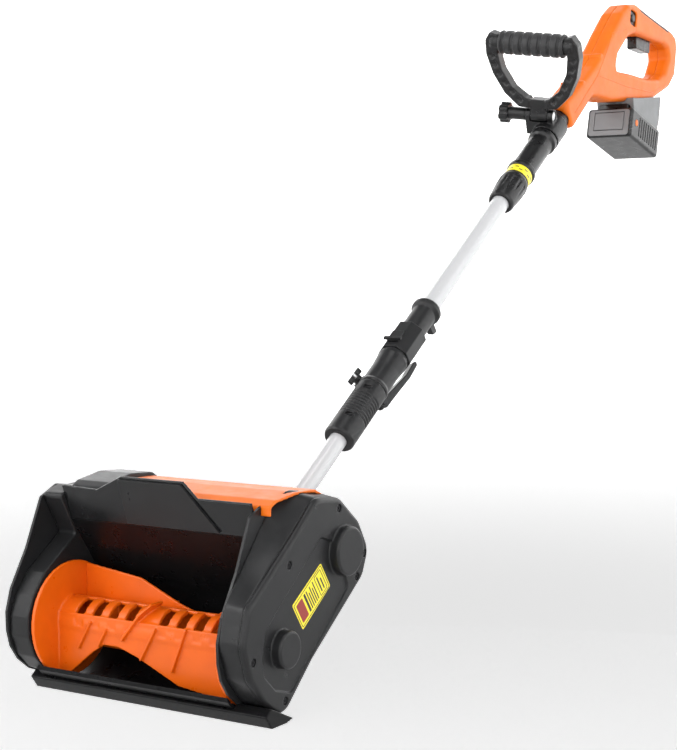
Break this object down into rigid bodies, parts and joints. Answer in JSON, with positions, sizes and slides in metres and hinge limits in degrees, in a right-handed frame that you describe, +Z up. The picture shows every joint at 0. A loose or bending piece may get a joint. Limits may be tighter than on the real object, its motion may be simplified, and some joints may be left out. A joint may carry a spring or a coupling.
{
  "type": "single stage snow thrower",
  "caption": "Hand-held battery powered single stage snow thrower: rotor head with belt drive on a two-piece telescopic shaft, front D-handle and rear trigger handle.",
  "frame": {"origin": "on the scraper's flat ground face, midway along its depth, in the shaft's centre plane", "axes": "+X to the belt case side, +Y to the rear where the operator stands, +Z up from the ground in the working pose"},
  "size_m": [0.313, 1.4153, 0.8632],
  "materials": {
    "orange_plastic": "satin moulded",
    "charcoal_plastic": "fine grain",
    "black_plastic": "fine grain",
    "soft_black": "soft matt",
    "grey_plastic": "satin",
    "white_paint": "gloss powder coat",
    "steel": "brushed",
    "zinc_screw": "zinc plated",
    "motor_steel": "satin",
    "belt_rubber": "matt",
    "yellow_label": "printed film",
    "copper_lead": "matt"
  },
  "bodies": {
    "head_and_shaft": {"bearing_retainer": "zinc_screw", "belt_case_inner": "charcoal_plastic", "belt_cover": "charcoal_plastic", "clamp_stud": "steel", "coupling_barrel": "charcoal_plastic", "coupling_head": "charcoal_plastic", "coupling_sleeve": "charcoal_plastic", "cover_label": "yellow_label", "cover_screws": "zinc_screw", "deflector_hood": "black_plastic", "deflector_plate": "charcoal_plastic", "drive_belt": "belt_rubber", "left_shoulder": "charcoal_plastic", "left_side_frame": "charcoal_plastic", "left_side_skin": "charcoal_plastic", "lower_tube": "white_paint", "motor_can": "motor_steel", "motor_flange": "steel", "motor_screws": "zinc_screw", "power_lead": "copper_lead", "rear_housing": "charcoal_plastic", "right_side_frame": "charcoal_plastic", "rotor_bearing_left": "steel", "rotor_bearing_right": "steel", "rotor_trough": "black_plastic", "scraper": "black_plastic", "top_cover": "orange_plastic", "tube_socket": "charcoal_plastic", "upper_tube": "white_paint"},
    "rotor": {"rotor_half_front": "orange_plastic", "rotor_half_rear": "orange_plastic", "rotor_shaft": "steel", "rotor_disc_screws": "zinc_screw", "rotor_pulley": "black_plastic"},
    "motor_rotor": {"motor_shaft": "steel", "motor_pulley": "steel"},
    "clamp_lever": {"clamp_lever": "charcoal_plastic", "lever_pin": "steel"},
    "wing_nut": {"wing_nut": "charcoal_plastic"},
    "release_button": {"release_button": "charcoal_plastic"},
    "twist_collar": {"twist_collar": "black_plastic"},
    "rear_assembly": {"outer_barrel": "black_plastic", "barrel_label": "yellow_label", "handle_clamp": "black_plastic", "clamp_bolt": "steel", "rear_handle_left": "orange_plastic", "rear_handle_right": "orange_plastic", "handle_screws": "zinc_screw", "grip_pad": "soft_black", "trigger_switch": "black_plastic", "battery_dock": "grey_plastic", "lock_bezel": "black_plastic"},
    "front_handle": {"aux_handle": "black_plastic", "aux_grip": "soft_black"},
    "clamp_knob": {"clamp_knob": "black_plastic"},
    "trigger": {"trigger": "black_plastic"},
    "lock_button": {"lock_button": "grey_plastic"},
    "battery": {"battery_case": "black_plastic"},
    "battery_latch": {"battery_latch": "grey_plastic"},
    "charge_button": {"charge_button": "orange_plastic"}
  },
  "joints": [
    {"name": "rotor_spin", "type": "hinge", "parent": "head_and_shaft", "child": "rotor", "pos_m": [-0.022, 0.02, 0.0698], "axis": [1, 0, 0], "continuous": true},
    {"name": "motor_spin", "type": "hinge", "parent": "head_and_shaft", "child": "motor_rotor", "pos_m": [0.11, 0.13064, 0.15064], "axis": [1, 0, 0], "continuous": true},
    {"name": "lever_swing", "type": "hinge", "parent": "head_and_shaft", "child": "clamp_lever", "pos_m": [-0.00056, 0.42735, 0.27589], "axis": [0.866, -0.2861, 0.4101], "range_deg": [-110, 0]},
    {"name": "wing_nut_turn", "type": "hinge", "parent": "head_and_shaft", "child": "wing_nut", "pos_m": [-0.02356, 0.40455, 0.30856], "axis": [-0.5, -0.4955, 0.7103], "range_deg": [-180, 180]},
    {"name": "release_press", "type": "slide", "parent": "head_and_shaft", "child": "release_button", "axis": [0, 0.5721, -0.8202], "range_m": [0, 0.0015], "stiffness_N_per_m": 1500},
    {"name": "telescope_slide", "type": "slide", "parent": "head_and_shaft", "child": "rear_assembly", "axis": [0, 0.8202, 0.5721], "range_m": [-0.1, 0]},
    {"name": "collar_twist", "type": "hinge", "parent": "rear_assembly", "child": "twist_collar", "pos_m": [0, 0.76725, 0.5472], "axis": [0, 0.8202, 0.5721], "range_deg": [0, 40]},
    {"name": "front_handle_tilt", "type": "hinge", "parent": "rear_assembly", "child": "front_handle", "pos_m": [-0.00558, 0.8845, 0.66402], "axis": [0.9877, 0.0895, -0.1283], "range_deg": [-40, 35]},
    {"name": "clamp_knob_turn", "type": "hinge", "parent": "rear_assembly", "child": "clamp_knob", "pos_m": [-0.00558, 0.8845, 0.66402], "axis": [0.9877, 0.0895, -0.1283], "range_deg": [-180, 180]},
    {"name": "trigger_pull", "type": "slide", "parent": "rear_assembly", "child": "trigger", "axis": [0, 0.0366, 0.9993], "range_m": [0, 0.005], "stiffness_N_per_m": 1500},
    {"name": "lock_press", "type": "slide", "parent": "rear_assembly", "child": "lock_button", "axis": [-1, 0, 0], "range_m": [0, 0.003], "stiffness_N_per_m": 800},
    {"name": "battery_slide", "type": "slide", "parent": "rear_assembly", "child": "battery", "axis": [0, 0.9707, -0.2402], "range_m": [0, 0.12]},
    {"name": "battery_latch_press", "type": "slide", "parent": "battery", "child": "battery_latch", "axis": [0, 0.9707, -0.2402], "range_m": [0, 0.0024], "stiffness_N_per_m": 1500},
    {"name": "charge_press", "type": "slide", "parent": "battery", "child": "charge_button", "axis": [-1, 0, 0], "range_m": [0, 0.001], "stiffness_N_per_m": 800}
  ],
  "couplings": [
    {"joint": "motor_spin", "follows": "rotor_spin", "ratio": 3}
  ]
}
